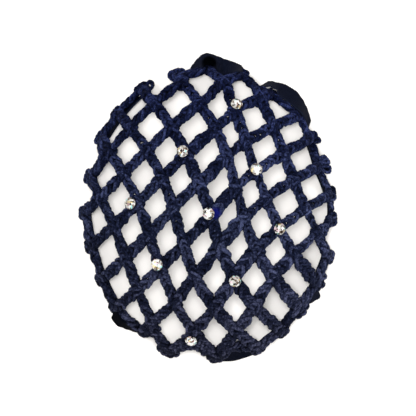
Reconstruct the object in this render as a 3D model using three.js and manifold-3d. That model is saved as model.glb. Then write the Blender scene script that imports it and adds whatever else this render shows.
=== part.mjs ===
// Bun cover: a crocheted dome of open diamond meshes with a satin drawstring ribbon and nine cut stones.
// Units are millimetres. +Z is up, the mouth lies on z = 0, and the crown of the dome is at the top.

import * as THREE from 'three';
import Module from 'manifold-3d';

const wasm = await Module();
wasm.setup();

// Driving dimensions of the dome. The rim is an oval, measured along the middle of its chain.
const RIM_HALF_WIDTH = 48.7;
const RIM_HALF_LENGTH = 56.5;
const DOME_RISE = 29.5;

// Crochet chain: half its width, half its thickness, half its thickness at a crossing, and how much
// wider it is there.
const CHAIN_HALF_WIDTH = 2.2;
const CHAIN_HALF_THICK = 1.5;
const KNOT_HALF_THICK = 1.9;
const KNOT_FLARE = 1.15;
const SHOULDER_REACH = 0.62;
const SHOULDER_RISE = 0.78;
const LONGEST_MITRE = 1.9;
const STEPS_PER_LINK = 3;

// The chain at the rim is pressed this much flat where it rests.
const REST_FLAT = 0.3;
const RIM_HEIGHT = CHAIN_HALF_WIDTH - REST_FLAT;

// Knots along the rim, seen from above: angle from +X and how far each sits inside the oval.
const RIM_KNOTS = {
  S: { deg: 9, inset: 0.0 },
  T: { deg: 23, inset: 2.0 },
  U: { deg: 36, inset: 1.0 },
  V: { deg: 47, inset: -0.5 },
  W: { deg: 62, inset: 1.0 },
  X: { deg: 78, inset: 0.5 },
  Y: { deg: 90, inset: -0.5 },
  A: { deg: 106, inset: 0.0 },
  B: { deg: 118, inset: -1.0 },
  C: { deg: 132, inset: -0.5 },
  D: { deg: 145, inset: -0.5 },
  E: { deg: 163, inset: 0.5 },
  F: { deg: 180, inset: 0.0 },
  G: { deg: 196, inset: 1.0 },
  H: { deg: 212, inset: 1.0 },
  I: { deg: 226, inset: 0.0 },
  J: { deg: 241, inset: 0.0 },
  K: { deg: 254, inset: -1.0 },
  L: { deg: 272, inset: 0.0 },
  M: { deg: 290, inset: -1.5 },
  N: { deg: 302, inset: -1.0 },
  O: { deg: 314, inset: 0.5 },
  P: { deg: 327, inset: -0.5 },
  Q: { deg: 340, inset: -1.0 },
  R: { deg: 357, inset: 0.0 },
};

// Strands that run from the upper right to the lower left. Bow is the sag of the strand to one side
// of the straight line between its two rim knots, and sway is the height of its S-bend.
const LEFT_STRANDS = [
  { name: 'left1', from: 'Y', to: 'E', bow: -4.0, sway: -0.5 },
  { name: 'left2', from: 'X', to: 'F', bow: -2.2, sway: -0.5 },
  { name: 'left3', from: 'W', to: 'G', bow: -3.2, sway: -1.5 },
  { name: 'left4', from: 'V', to: 'H', bow: -5.0, sway: -2.0 },
  { name: 'left5', from: 'U', to: 'I', bow: -3.5, sway: -2.0 },
  { name: 'left6', from: 'T', to: 'J', bow: -4.2, sway: -2.0 },
  { name: 'left7', from: 'S', to: 'K', bow: -3.3, sway: -2.0 },
  { name: 'left8', from: 'R', to: 'L', bow: -1.5, sway: -0.5 },
];

// Strands that run from the upper left to the lower right.
const RIGHT_STRANDS = [
  { name: 'right1', from: 'X', to: 'Q', bow: 2.0, sway: 2.0 },
  { name: 'right2', from: 'Y', to: 'P', bow: -1.5, sway: 2.5 },
  { name: 'right3', from: 'A', to: 'O', bow: -0.5, sway: 4.0 },
  { name: 'right4', from: 'B', to: 'N', bow: -2.0, sway: 4.0 },
  { name: 'right5', from: 'C', to: 'M', bow: -3.0, sway: 4.5 },
  { name: 'right6', from: 'D', to: 'L', bow: -1.5, sway: 2.5 },
  { name: 'right7', from: 'E', to: 'K', bow: 0.0, sway: 1.0 },
];

// Stretches where the rim has a chain of its own. Elsewhere the strands' last links are the rim.
const RIM_CHAINS = ['BCD', 'FGHIJ', 'MNOPQ', 'RSTUVW'];

// Stones sit on every second crossing, some of them slipped off its middle by shift_x and shift_y.
const STONES = [
  { name: 'stone_1', left: 'left3', right: 'right2', shift_x: 0.0, shift_y: 2.5 },
  { name: 'stone_2', left: 'left5', right: 'right2', shift_x: -1.0, shift_y: 0.0 },
  { name: 'stone_3', left: 'left7', right: 'right2', shift_x: -0.8, shift_y: 0.0 },
  { name: 'stone_4', left: 'left3', right: 'right4', shift_x: -1.0, shift_y: 0.0 },
  { name: 'stone_5', left: 'left5', right: 'right4', shift_x: 0.0, shift_y: 0.8 },
  { name: 'stone_6', left: 'left7', right: 'right4', shift_x: -0.5, shift_y: -0.5 },
  { name: 'stone_7', left: 'left3', right: 'right6', shift_x: -1.8, shift_y: 0.0 },
  { name: 'stone_8', left: 'left5', right: 'right6', shift_x: -0.5, shift_y: 2.2 },
  { name: 'stone_9', left: 'left7', right: 'right6', shift_x: 0.0, shift_y: -2.8 },
];
const STONE_RADIUS = 2.35;
const STONE_HEIGHT = 1.9;
const SEAT_GAP = 0.3;

// Ribbon: a flat satin band that stands at the rim and is threaded in and out of the net. Inside it
// is drawn up narrow behind the rim chain, and outside it spreads to its full width.
const RIBBON_THICK = 1.0;
const RIBBON_SECTIONS = 160;
const RIBBON_FLOOR_GAP = 0.3;
const RIBBON_INSIDE = { offset: -3.7, lean: 10, wide: 4.0 };
const RIBBON_OUTSIDE = { offset: 2.3, lean: 9, wide: 8.0 };

// Where the ribbon changes sides: how narrow it is there, and how far it is lifted to go through a
// mesh above the rim chain.
const PASSES = [
  { deg: 43, rise: 4.3, wide: 3.0, span: 4.5 },
  { deg: 67, rise: 0.0, wide: 4.5, span: 3.5 },
  { deg: 74, rise: 0.0, wide: 3.2, span: 3 },
  { deg: 97.5, rise: 0.0, wide: 4.0, span: 3.5 },
  { deg: 219.5, rise: 4.3, wide: 3.0, span: 4.5 },
  { deg: 248, rise: 0.0, wide: 4.5, span: 4 },
  { deg: 264, rise: 0.0, wide: 4.5, span: 5 },
  { deg: 284, rise: 0.0, wide: 4.5, span: 4 },
];
const GATHER_SPREAD = 2.1;

// Slack loops of the ribbon that stand out beyond the net: how far out and how much they lie over.
// The last row draws it in where the net's edge runs inward, so that it stays behind the chains.
const PUFFS = [
  { deg: 91.5, spread: 9, out: 2.6, lean: 34 },
  { deg: 79.5, spread: 8, out: 0.9, lean: 8 },
  { deg: 55, spread: 13, out: 2.2, lean: 22 },
  { deg: 112.5, spread: 9, out: -2.6, lean: 0 },
];

const RAD = Math.PI / 180;

// The same angle between -180 and 180 degrees.
function shortTurn(deg) {
  return THREE.MathUtils.euclideanModulo(deg + 180, 360) - 180;
}

// Radius of the rim at an angle: the oval less the inset, which runs evenly from knot to knot.
const knotRing = Object.values(RIM_KNOTS).sort((a, b) => a.deg - b.deg);

function insetAt(deg) {
  const turn = THREE.MathUtils.euclideanModulo(deg, 360);
  const after = Math.max(0, knotRing.findIndex((knot) => knot.deg > turn));
  const next = knotRing[after];
  const last = knotRing.at(after - 1);
  const width = THREE.MathUtils.euclideanModulo(next.deg - last.deg, 360);
  const along = THREE.MathUtils.euclideanModulo(turn - last.deg, 360) / width;
  return last.inset + (next.inset - last.inset) * along;
}

function ovalRadius(angle) {
  return 1 / Math.hypot(Math.cos(angle) / RIM_HALF_WIDTH, Math.sin(angle) / RIM_HALF_LENGTH);
}

function rimRadius(angle) {
  return ovalRadius(angle) - insetAt(angle / RAD);
}

function rimPoint(deg) {
  const radius = rimRadius(deg * RAD);
  return new THREE.Vector2(radius * Math.cos(deg * RAD), radius * Math.sin(deg * RAD));
}

// Height of the net above the floor over a point of the plan: a quarter ellipse from crown to rim.
function domePoint(plan) {
  const fullness = Math.min(1, plan.length() / rimRadius(Math.atan2(plan.y, plan.x)));
  return new THREE.Vector3(plan.x, plan.y, RIM_HEIGHT + DOME_RISE * Math.sqrt(1 - fullness ** 2));
}

function domeNormal(point) {
  const slope = new THREE.Vector3(
    point.x / RIM_HALF_WIDTH ** 2,
    point.y / RIM_HALF_LENGTH ** 2,
    (point.z - RIM_HEIGHT) / DOME_RISE ** 2,
  );
  return slope.normalize();
}

// A strand's course in plan, from 0 at its first rim knot to 1 at its last.
function strandPoint(strand, along) {
  const start = rimPoint(RIM_KNOTS[strand.from].deg);
  const end = rimPoint(RIM_KNOTS[strand.to].deg);
  const run = end.clone().sub(start);
  const side = new THREE.Vector2(-run.y, run.x).normalize();
  const push = Math.sin(Math.PI * along) * strand.bow + Math.sin(2 * Math.PI * along) * strand.sway;
  return start.addScaledVector(run, along).addScaledVector(side, push);
}

// Where two strands cross, found on their chords of SCAN_STEPS short pieces.
const SCAN_STEPS = 60;

function crossing(one, two) {
  for (let i = 0; i < SCAN_STEPS; i += 1) {
    const a = strandPoint(one, i / SCAN_STEPS);
    const ab = strandPoint(one, (i + 1) / SCAN_STEPS).sub(a);
    for (let j = 0; j < SCAN_STEPS; j += 1) {
      const c = strandPoint(two, j / SCAN_STEPS);
      const cd = strandPoint(two, (j + 1) / SCAN_STEPS).sub(c);
      const across = ab.cross(cd);
      const s = c.clone().sub(a).cross(cd) / across;
      const t = c.clone().sub(a).cross(ab) / across;
      if (s >= 0 && s < 1 && t >= 0 && t < 1) {
        return { one: (i + s) / SCAN_STEPS, two: (j + t) / SCAN_STEPS };
      }
    }
  }
  return null;
}

// The net as a graph: knots, and links between them with the points that each link runs through.
const knots = new Map();
const links = [];

function addKnot(name, plan) {
  knots.set(name, { name, point: domePoint(plan), ways: [] });
}

function addLink(from, to, planAt) {
  const between = [];
  for (let step = 1; step < STEPS_PER_LINK; step += 1) {
    between.push(domePoint(planAt(step / STEPS_PER_LINK)));
  }
  links.push({ from, to, between });
}

function buildGraph() {
  for (const [name, knot] of Object.entries(RIM_KNOTS)) {
    addKnot(name, rimPoint(knot.deg));
  }
  const stops = new Map([...LEFT_STRANDS, ...RIGHT_STRANDS].map((strand) => [
    strand,
    [{ along: 0, name: strand.from }, { along: 1, name: strand.to }],
  ]));
  for (const left of LEFT_STRANDS) {
    for (const right of RIGHT_STRANDS) {
      const shared = [left.from, left.to].some((end) => end === right.from || end === right.to);
      const met = shared ? null : crossing(left, right);
      if (met) {
        const name = `${left.name}_${right.name}`;
        addKnot(name, strandPoint(left, met.one));
        stops.get(left).push({ along: met.one, name });
        stops.get(right).push({ along: met.two, name });
      }
    }
  }
  for (const [strand, list] of stops) {
    list.sort((a, b) => a.along - b.along);
    for (let i = 1; i < list.length; i += 1) {
      const [a, b] = [list[i - 1], list[i]];
      addLink(a.name, b.name, (part) => strandPoint(strand, a.along + (b.along - a.along) * part));
    }
  }
  for (const chain of RIM_CHAINS) {
    for (let i = 1; i < chain.length; i += 1) {
      const start = RIM_KNOTS[chain[i - 1]].deg;
      const turn = shortTurn(RIM_KNOTS[chain[i]].deg - start);
      addLink(chain[i - 1], chain[i], (part) => rimPoint(start + turn * part));
    }
  }
}

// Walk round every mesh of the net, and once round its outside, keeping it on the left.
function meshLoops() {
  for (const link of links) {
    const back = { from: link.to, to: link.from, between: [...link.between].reverse() };
    for (const way of [link, back]) {
      const start = knots.get(way.from).point;
      const first = way.between[0];
      way.heading = Math.atan2(first.y - start.y, first.x - start.x);
      knots.get(way.from).ways.push(way);
    }
  }
  for (const knot of knots.values()) {
    knot.ways.sort((a, b) => a.heading - b.heading);
  }
  const walked = new Set();
  const loops = [];
  for (const first of [...knots.values()].flatMap((knot) => knot.ways)) {
    const loop = [];
    let way = first;
    while (!walked.has(way)) {
      walked.add(way);
      loop.push(way);
      const around = knots.get(way.to).ways;
      const arrived = around.findIndex((other) => other.to === way.from);
      way = around[(arrived + around.length - 1) % around.length];
    }
    if (loop.length > 0) {
      loops.push(loop);
    }
  }
  return loops;
}

// Ridge points are shared by the meshes on both sides of a chain, so each is numbered once.
const KEY_DIGITS = 5;

class SkinBuilder {
  constructor() {
    this.positions = [];
    this.triangles = [];
    this.shared = new Map();
  }

  add(point) {
    this.positions.push(point.x, point.y, point.z);
    return this.positions.length / 3 - 1;
  }

  ridge(point, halfThick, facing) {
    const key = [point.x, point.y, facing].map((value) => value.toFixed(KEY_DIGITS)).join();
    if (!this.shared.has(key)) {
      const normal = domeNormal(point);
      this.shared.set(key, this.add(point.clone().addScaledVector(normal, halfThick * facing)));
    }
    return this.shared.get(key);
  }

  quad(a, b, c, d) {
    this.triangles.push(a, b, c, a, c, d);
  }
}

// One mesh's edge: from the outer ridge over the shoulders and side of the chain to the inner ridge.
function skinLoop(skin, loop) {
  const stations = loop.flatMap((way) => {
    const atRim = way.from in RIM_KNOTS;
    const knot = {
      point: knots.get(way.from).point,
      half: atRim ? CHAIN_HALF_THICK : KNOT_HALF_THICK,
      flare: atRim ? 1 : KNOT_FLARE,
    };
    return [knot, ...way.between.map((point) => ({ point, half: CHAIN_HALF_THICK, flare: 1 }))];
  });
  const columns = stations.map((station, i) => {
    const before = stations[(i + stations.length - 1) % stations.length].point;
    const after = stations[(i + 1) % stations.length].point;
    const { point, half, flare } = station;
    const normal = domeNormal(point);
    const inward = normal.clone().cross(point.clone().sub(before)).normalize();
    const outward = normal.clone().cross(after.clone().sub(point)).normalize();
    const mitre = inward.clone().add(outward).normalize();
    const stretch = Math.min(LONGEST_MITRE, 1 / mitre.dot(inward));
    const reach = CHAIN_HALF_WIDTH * stretch * flare;
    const shoulder = (facing) => point.clone()
      .addScaledVector(mitre, reach * SHOULDER_REACH)
      .addScaledVector(normal, half * SHOULDER_RISE * facing);
    return [
      skin.ridge(point, half, 1),
      skin.add(shoulder(1)),
      skin.add(point.clone().addScaledVector(mitre, reach)),
      skin.add(shoulder(-1)),
      skin.ridge(point, half, -1),
    ];
  });
  columns.forEach((column, i) => {
    const next = columns[(i + 1) % columns.length];
    for (let level = 1; level < column.length; level += 1) {
      skin.quad(column[level - 1], next[level - 1], next[level], column[level]);
    }
  });
}

function solidFrom(positions, triangles) {
  const mesh = new wasm.Mesh({
    numProp: 3,
    vertProperties: new Float32Array(positions),
    triVerts: new Uint32Array(triangles),
  });
  return new wasm.Manifold(mesh);
}

function geometryOf(solid) {
  const mesh = solid.getMesh();
  const geometry = new THREE.BufferGeometry();
  const positions = new Float32Array(mesh.numVert * 3);
  for (let i = 0; i < mesh.numVert; i += 1) {
    positions.set(mesh.vertProperties.slice(i * mesh.numProp, i * mesh.numProp + 3), i * 3);
  }
  geometry.setAttribute('position', new THREE.BufferAttribute(positions, 3));
  geometry.setIndex([...mesh.triVerts]);
  geometry.computeVertexNormals();
  return geometry;
}

// The net is trimmed level with the floor, which leaves the small flats that it rests on.
function makeNet() {
  buildGraph();
  const skin = new SkinBuilder();
  for (const loop of meshLoops()) {
    skinLoop(skin, loop);
  }
  return geometryOf(solidFrom(skin.positions, skin.triangles).trimByPlane([0, 0, 1], 0));
}

// A round flat-backed stone: eight-sided table, star facets, kite facets and a thin girdle.
function makeStone() {
  const rings = [
    { radius: 0.56, height: 1.0, sides: 8, turn: 0.5 },
    { radius: 0.86, height: 0.66, sides: 8, turn: 0.0 },
    { radius: 1.0, height: 0.36, sides: 16, turn: 0.0 },
    { radius: 1.0, height: 0.26, sides: 16, turn: 0.0 },
    { radius: 0.8, height: 0.0, sides: 16, turn: 0.0 },
  ];
  const points = rings.flatMap((ring) => Array.from({ length: ring.sides }, (_, i) => {
    const angle = ((i + ring.turn) / ring.sides) * 2 * Math.PI;
    const radius = ring.radius * STONE_RADIUS;
    return [radius * Math.cos(angle), radius * Math.sin(angle), ring.height * STONE_HEIGHT];
  }));
  return geometryOf(wasm.Manifold.hull(points));
}

// How near an angle is to a station: 1 on it, falling smoothly to 0 at the given reach.
function nearness(deg, station, reach) {
  const apart = Math.abs(shortTurn(deg - station));
  return apart < reach ? Math.cos((apart / reach) * Math.PI * 0.5) ** 2 : 0;
}

// -1 inside the net and +1 outside it, swinging over smoothly at each pass.
function ribbonSide(deg) {
  return PASSES.reduce((side, pass) => {
    const turn = THREE.MathUtils.clamp((deg - pass.deg) / pass.span, -1, 1);
    return side * Math.sin(turn * Math.PI * 0.5);
  }, -1);
}

function ribbonSection(deg) {
  const outside = (ribbonSide(deg) + 1) / 2;
  let offset = THREE.MathUtils.lerp(RIBBON_INSIDE.offset, RIBBON_OUTSIDE.offset, outside);
  let lean = THREE.MathUtils.lerp(RIBBON_INSIDE.lean, RIBBON_OUTSIDE.lean, outside);
  let wide = THREE.MathUtils.lerp(RIBBON_INSIDE.wide, RIBBON_OUTSIDE.wide, outside);
  let foot = RIBBON_FLOOR_GAP;
  for (const pass of PASSES) {
    const near = nearness(deg, pass.deg, pass.span * GATHER_SPREAD);
    wide = THREE.MathUtils.lerp(wide, pass.wide, near);
    foot += pass.rise * near;
  }
  for (const puff of PUFFS) {
    const near = nearness(deg, puff.deg, puff.spread);
    offset += puff.out * near;
    lean += puff.lean * near;
  }
  const angle = deg * RAD;
  const outward = new THREE.Vector3(Math.cos(angle), Math.sin(angle), 0);
  const upward = new THREE.Vector3(0, 0, 1);
  const leaning = lean * RAD;
  const across = upward.clone().multiplyScalar(Math.cos(leaning))
    .addScaledVector(outward, -Math.sin(leaning));
  const facing = outward.clone().multiplyScalar(Math.cos(leaning))
    .addScaledVector(upward, Math.sin(leaning));
  const middle = outward.multiplyScalar(rimRadius(angle) + offset);
  middle.z = foot + (wide * Math.cos(leaning) + RIBBON_THICK * Math.sin(leaning)) / 2;
  return [[1, 1], [-1, 1], [-1, -1], [1, -1]].map(([high, front]) => middle.clone()
    .addScaledVector(across, (high * wide) / 2)
    .addScaledVector(facing, (front * RIBBON_THICK) / 2));
}

function makeRibbon() {
  const skin = new SkinBuilder();
  const rings = Array.from({ length: RIBBON_SECTIONS }, (_, i) => (
    ribbonSection((i / RIBBON_SECTIONS) * 360).map((point) => skin.add(point))
  ));
  rings.forEach((ring, i) => {
    const next = rings[(i + 1) % rings.length];
    ring.forEach((corner, j) => {
      const k = (j + 1) % ring.length;
      skin.quad(corner, ring[k], next[k], next[j]);
    });
  });
  return geometryOf(solidFrom(skin.positions, skin.triangles));
}

const yarn = { color: 0x1c2a55, roughness: 0.9, metalness: 0.0 };
const satin = { color: 0x161a28, roughness: 0.45, metalness: 0.0 };
const crystal = { color: 0xf2f4f7, roughness: 0.05, metalness: 0.0 };

function makePiece(name, geometry, look) {
  const piece = new THREE.Mesh(geometry, new THREE.MeshStandardMaterial({ ...look, flatShading: true }));
  piece.name = name;
  return piece;
}

function placeStone(stone, row) {
  const knot = knots.get(`${row.left}_${row.right}`).point;
  const seat = domePoint(new THREE.Vector2(knot.x + row.shift_x, knot.y + row.shift_y));
  const normal = domeNormal(seat);
  stone.position.copy(seat.addScaledVector(normal, KNOT_HALF_THICK + SEAT_GAP));
  stone.quaternion.setFromUnitVectors(new THREE.Vector3(0, 0, 1), normal);
}

const cover = new THREE.Group();
cover.add(makePiece('net', makeNet(), yarn));
cover.add(makePiece('ribbon', makeRibbon(), satin));
for (const row of STONES) {
  const stone = makePiece(row.name, makeStone(), crystal);
  placeStone(stone, row);
  cover.add(stone);
}

// The part's origin is under the middle of everything, on the floor.
const bounds = new THREE.Box3().setFromObject(cover);
const middle = bounds.getCenter(new THREE.Vector3());
cover.position.set(-middle.x, -middle.y, 0);
cover.updateMatrixWorld(true);

export default cover;
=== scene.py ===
# %% [markdown]
# # A crocheted bun cover with a satin drawstring and cut stones
# A bun cover is a small dome of open crochet that is pulled over a hair bun. This one has diamond
# meshes of chain stitch in navy yarn, a satin ribbon threaded round its rim, and nine round stones.
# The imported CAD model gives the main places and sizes. This script keeps the stones as they are and
# puts real stitches in the place of the net's plain strands, and a thinner ribbon with softer bends
# in the place of its band.

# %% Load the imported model
import math
import random
from collections import namedtuple

import bmesh
import bpy
from mathutils import Matrix, Vector, noise


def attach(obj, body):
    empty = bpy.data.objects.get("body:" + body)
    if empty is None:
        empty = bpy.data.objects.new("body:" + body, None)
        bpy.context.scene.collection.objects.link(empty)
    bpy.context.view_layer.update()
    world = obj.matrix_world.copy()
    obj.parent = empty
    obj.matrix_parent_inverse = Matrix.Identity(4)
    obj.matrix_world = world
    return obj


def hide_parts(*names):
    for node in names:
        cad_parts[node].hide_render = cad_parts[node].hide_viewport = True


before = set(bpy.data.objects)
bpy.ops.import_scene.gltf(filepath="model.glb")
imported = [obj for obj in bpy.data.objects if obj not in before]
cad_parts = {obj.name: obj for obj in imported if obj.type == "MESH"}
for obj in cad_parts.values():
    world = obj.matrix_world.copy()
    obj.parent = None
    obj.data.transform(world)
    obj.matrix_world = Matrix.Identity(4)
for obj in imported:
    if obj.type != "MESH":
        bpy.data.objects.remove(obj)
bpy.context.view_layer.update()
MM = 0.001

# %% [markdown]
# ## Camera
# The photograph looks straight down on the crown and shows none of the widening that a near lens
# gives, so it is taken as shot from far off. A long lens high above the floor does the same. The
# width of the view, at the height where the scale was measured, is 0.395 mm a pixel times the
# photograph's 416 pixels.

# %% Camera straight above the crown
PLAN_CENTRE = Vector((0.003, -2.395, 0.0))
MM_PER_PIXEL = 0.395
IMAGE_PIXELS = 416
PLAN_CENTRE_PIXEL = (208, 213)
CAMERA_HEIGHT = 2100.0
SCALE_HEIGHT = 10.0
SENSOR_WIDTH = 36.0


def at_pixel(across, down):
    """The place on the plan, in millimetres from the middle of the dome, that shows at a pixel."""
    right = (across - PLAN_CENTRE_PIXEL[0]) * MM_PER_PIXEL
    up = (PLAN_CENTRE_PIXEL[1] - down) * MM_PER_PIXEL
    return Vector((right, up, 0.0))


view_centre = at_pixel(IMAGE_PIXELS / 2, IMAGE_PIXELS / 2) + PLAN_CENTRE
camera_data = bpy.data.cameras.new("camera_above")
camera_data.sensor_width = SENSOR_WIDTH
camera_data.lens = SENSOR_WIDTH * (CAMERA_HEIGHT - SCALE_HEIGHT) / (IMAGE_PIXELS * MM_PER_PIXEL)
camera_data.clip_start = 0.05
camera_data.clip_end = 20.0
camera = bpy.data.objects.new("camera_above", camera_data)
camera.location = (view_centre.x * MM, view_centre.y * MM, CAMERA_HEIGHT * MM)
bpy.context.scene.collection.objects.link(camera)
bpy.context.scene.camera = camera
print("lens in mm:", round(camera_data.lens, 1))

# %% [markdown]
# ## The dome and its rim
# The cover is a stretched dome: an oval rim and a crown 29.5 mm above it. Its chains meet the rim at
# 25 knots, some of them pulled in or out a little. These are the measures of the CAD model, except
# that the knots X, A, J and L are shifted by up to three degrees or 0.8 mm, where the photo shows
# them. They are in millimetres from the middle of the dome. Everything is made in millimetres and
# becomes metres at the end, which keeps the numbers readable.

# %% Measures of the dome
RIM_HALF_WIDTH = 48.7
RIM_HALF_LENGTH = 56.5
RIM_HEIGHT = 1.9
DOME_RISE = 29.5
UP = Vector((0.0, 0.0, 1.0))

RimKnot = namedtuple("RimKnot", "name deg inset")
RIM_KNOTS = [
    RimKnot("S", 9, 0.0),
    RimKnot("T", 23, 2.0),
    RimKnot("U", 36, 1.0),
    RimKnot("V", 47, -0.5),
    RimKnot("W", 62, 1.0),
    RimKnot("X", 76.5, -0.3),
    RimKnot("Y", 90, -0.5),
    RimKnot("A", 103, 0.0),
    RimKnot("B", 118, -1.0),
    RimKnot("C", 132, -0.5),
    RimKnot("D", 145, -0.5),
    RimKnot("E", 163, 0.5),
    RimKnot("F", 180, 0.0),
    RimKnot("G", 196, 1.0),
    RimKnot("H", 212, 1.0),
    RimKnot("I", 226, 0.0),
    RimKnot("J", 241, 0.8),
    RimKnot("K", 254, -1.0),
    RimKnot("L", 273, -0.5),
    RimKnot("M", 290, -1.5),
    RimKnot("N", 302, -1.0),
    RimKnot("O", 314, 0.5),
    RimKnot("P", 327, -0.5),
    RimKnot("Q", 340, -1.0),
    RimKnot("R", 357, 0.0),
]
KNOT_DEG = {knot.name: knot.deg for knot in RIM_KNOTS}


def short_turn(deg):
    """The same angle between -180 and 180 degrees."""
    return (deg + 180.0) % 360.0 - 180.0


def inset_at(deg):
    """How far the rim sits inside the oval, running evenly from knot to knot."""
    turn = deg % 360.0
    for last, following in zip(RIM_KNOTS[-1:] + RIM_KNOTS[:-1], RIM_KNOTS):
        width = (following.deg - last.deg) % 360.0
        along = (turn - last.deg) % 360.0
        if along < width:
            return last.inset + (following.inset - last.inset) * along / width
    return 0.0


def rim_radius(angle):
    """Distance of the rim chain from the middle of the plan, at an angle in radians."""
    oval = 1.0 / math.hypot(math.cos(angle) / RIM_HALF_WIDTH, math.sin(angle) / RIM_HALF_LENGTH)
    return oval - inset_at(math.degrees(angle))


def rim_point(deg):
    """A place on the rim, on the plan."""
    angle = math.radians(deg)
    return Vector((math.cos(angle), math.sin(angle), 0.0)) * rim_radius(angle)


def dome_point(plan):
    """The place on the dome above a place on the plan."""
    reach = math.hypot(plan.x, plan.y)
    fullness = min(1.0, reach / rim_radius(math.atan2(plan.y, plan.x)))
    return Vector((plan.x, plan.y, RIM_HEIGHT + DOME_RISE * math.sqrt(1.0 - fullness**2)))


def dome_normal(point):
    """Straight out from the dome's surface."""
    slope = Vector(
        (
            point.x / RIM_HALF_WIDTH**2,
            point.y / RIM_HALF_LENGTH**2,
            (point.z - RIM_HEIGHT) / DOME_RISE**2,
        )
    )
    return slope.normalized()


print("rim knots:", len(RIM_KNOTS), "crown at", dome_point(Vector((0.0, 0.0, 0.0))).z, "mm")

# %% [markdown]
# ## The course of each strand
# The diamonds are made by two families of chains. Eight run from the upper right to the lower left
# and seven the other way. Seen from above each is nearly a straight line between two rim knots, with
# a sag to one side and a slight S-bend. Some are also tugged to one side over a short stretch, as a
# worn net is, and each tug is a row of a table with its place, its width and its push. Where two of
# them meet, one goes over the other, so the crossings are worked out too, by stepping along both.

# %% Strands and their crossings
Strand = namedtuple("Strand", "name start end bow sway")
LEFT_STRANDS = [
    Strand("left1", "Y", "E", -4.0, -0.5),
    Strand("left2", "X", "F", -2.2, -0.5),
    Strand("left3", "W", "G", -3.2, -1.5),
    Strand("left4", "V", "H", -5.0, -2.0),
    Strand("left5", "U", "I", -3.5, -2.0),
    Strand("left6", "T", "J", -4.2, -2.0),
    Strand("left7", "S", "K", -3.3, -2.0),
    Strand("left8", "R", "L", -1.5, -0.5),
]
RIGHT_STRANDS = [
    Strand("right1", "X", "Q", 2.0, 2.0),
    Strand("right2", "Y", "P", -1.5, 2.5),
    Strand("right3", "A", "O", -0.5, 4.0),
    Strand("right4", "B", "N", -2.0, 4.0),
    Strand("right5", "C", "M", -3.0, 4.5),
    Strand("right6", "D", "L", -1.5, 2.5),
    Strand("right7", "E", "K", 0.0, 1.0),
]
Tug = namedtuple("Tug", "strand along width push")
TUGS = [
    Tug("left1", 0.11, 0.07, -2.2),
    Tug("left2", 0.1, 0.06, -1.6),
    Tug("left3", 0.14, 0.07, -1.2),
    Tug("left3", 0.36, 0.1, 0.7),
    Tug("left4", 0.42, 0.1, 1.2),
    Tug("left5", 0.49, 0.1, 0.9),
    Tug("left6", 0.85, 0.1, 0.6),
    Tug("left7", 0.48, 0.12, -0.9),
    Tug("left7", 0.78, 0.1, 1.0),
    Tug("left7", 0.93, 0.06, 1.0),
    Tug("left8", 0.42, 0.22, -1.5),
    Tug("right1", 0.08, 0.05, 1.0),
    Tug("right1", 0.38, 0.2, -1.4),
    Tug("right1", 0.8, 0.12, 0.8),
    Tug("right2", 0.1, 0.06, 2.0),
    Tug("right2", 0.42, 0.12, -0.9),
    Tug("right4", 0.51, 0.09, 1.1),
    Tug("right4", 0.84, 0.1, -0.8),
    Tug("right6", 0.78, 0.1, -0.4),
    Tug("right7", 0.93, 0.06, -1.0),
]
SCAN_STEPS = 60


def strand_plan(strand, along):
    """A strand's course on the plan, from 0 at its first rim knot to 1 at its last."""
    start, end = rim_point(KNOT_DEG[strand.start]), rim_point(KNOT_DEG[strand.end])
    run = end - start
    side = Vector((-run.y, run.x, 0.0)).normalized()
    push = math.sin(math.pi * along) * strand.bow + math.sin(2 * math.pi * along) * strand.sway
    for tug in TUGS:
        if tug.strand == strand.name:
            push += tug.push * math.exp(-(((along - tug.along) / tug.width) ** 2))
    return start + run * along + side * push


def crossing(one, two):
    """How far along each of two strands they cross, or None."""
    first = [strand_plan(one, step / SCAN_STEPS) for step in range(SCAN_STEPS + 1)]
    second = [strand_plan(two, step / SCAN_STEPS) for step in range(SCAN_STEPS + 1)]
    for i in range(SCAN_STEPS):
        a, run_a = first[i], first[i + 1] - first[i]
        for j in range(SCAN_STEPS):
            c, run_c = second[j], second[j + 1] - second[j]
            turn = run_a.x * run_c.y - run_a.y * run_c.x
            gap = c - a
            s = (gap.x * run_c.y - gap.y * run_c.x) / turn
            t = (gap.x * run_a.y - gap.y * run_a.x) / turn
            if 0.0 <= s < 1.0 and 0.0 <= t < 1.0:
                return (i + s) / SCAN_STEPS, (j + t) / SCAN_STEPS
    return None


crossings = {}
for left in LEFT_STRANDS:
    for right in RIGHT_STRANDS:
        if not {left.start, left.end} & {right.start, right.end}:
            met = crossing(left, right)
            if met:
                crossings[left.name, right.name] = strand_plan(left, met[0])
print("crossings:", len(crossings))

# %% [markdown]
# ## One chain stitch
# A chain stitch is a loop of yarn that is pulled through the loop before it. From above only its two
# legs show, as a V, and its round head lies under the next loop. It could be drawn as one long
# curve, but a loop that is made once and laid down again and again is lighter. A ring of yarn is
# spun, and then its points are moved so that the ring narrows to a tail and its head dips. The
# loop's own UV map runs along the yarn and round it, so that the twist of the yarn can follow it.

# %% Yarn ring and the chain loop made from it
YARN_RADIUS = 0.75
YARN_SIDES = 6
RING_STEPS = 12
LOOK_AHEAD = 0.05


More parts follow.
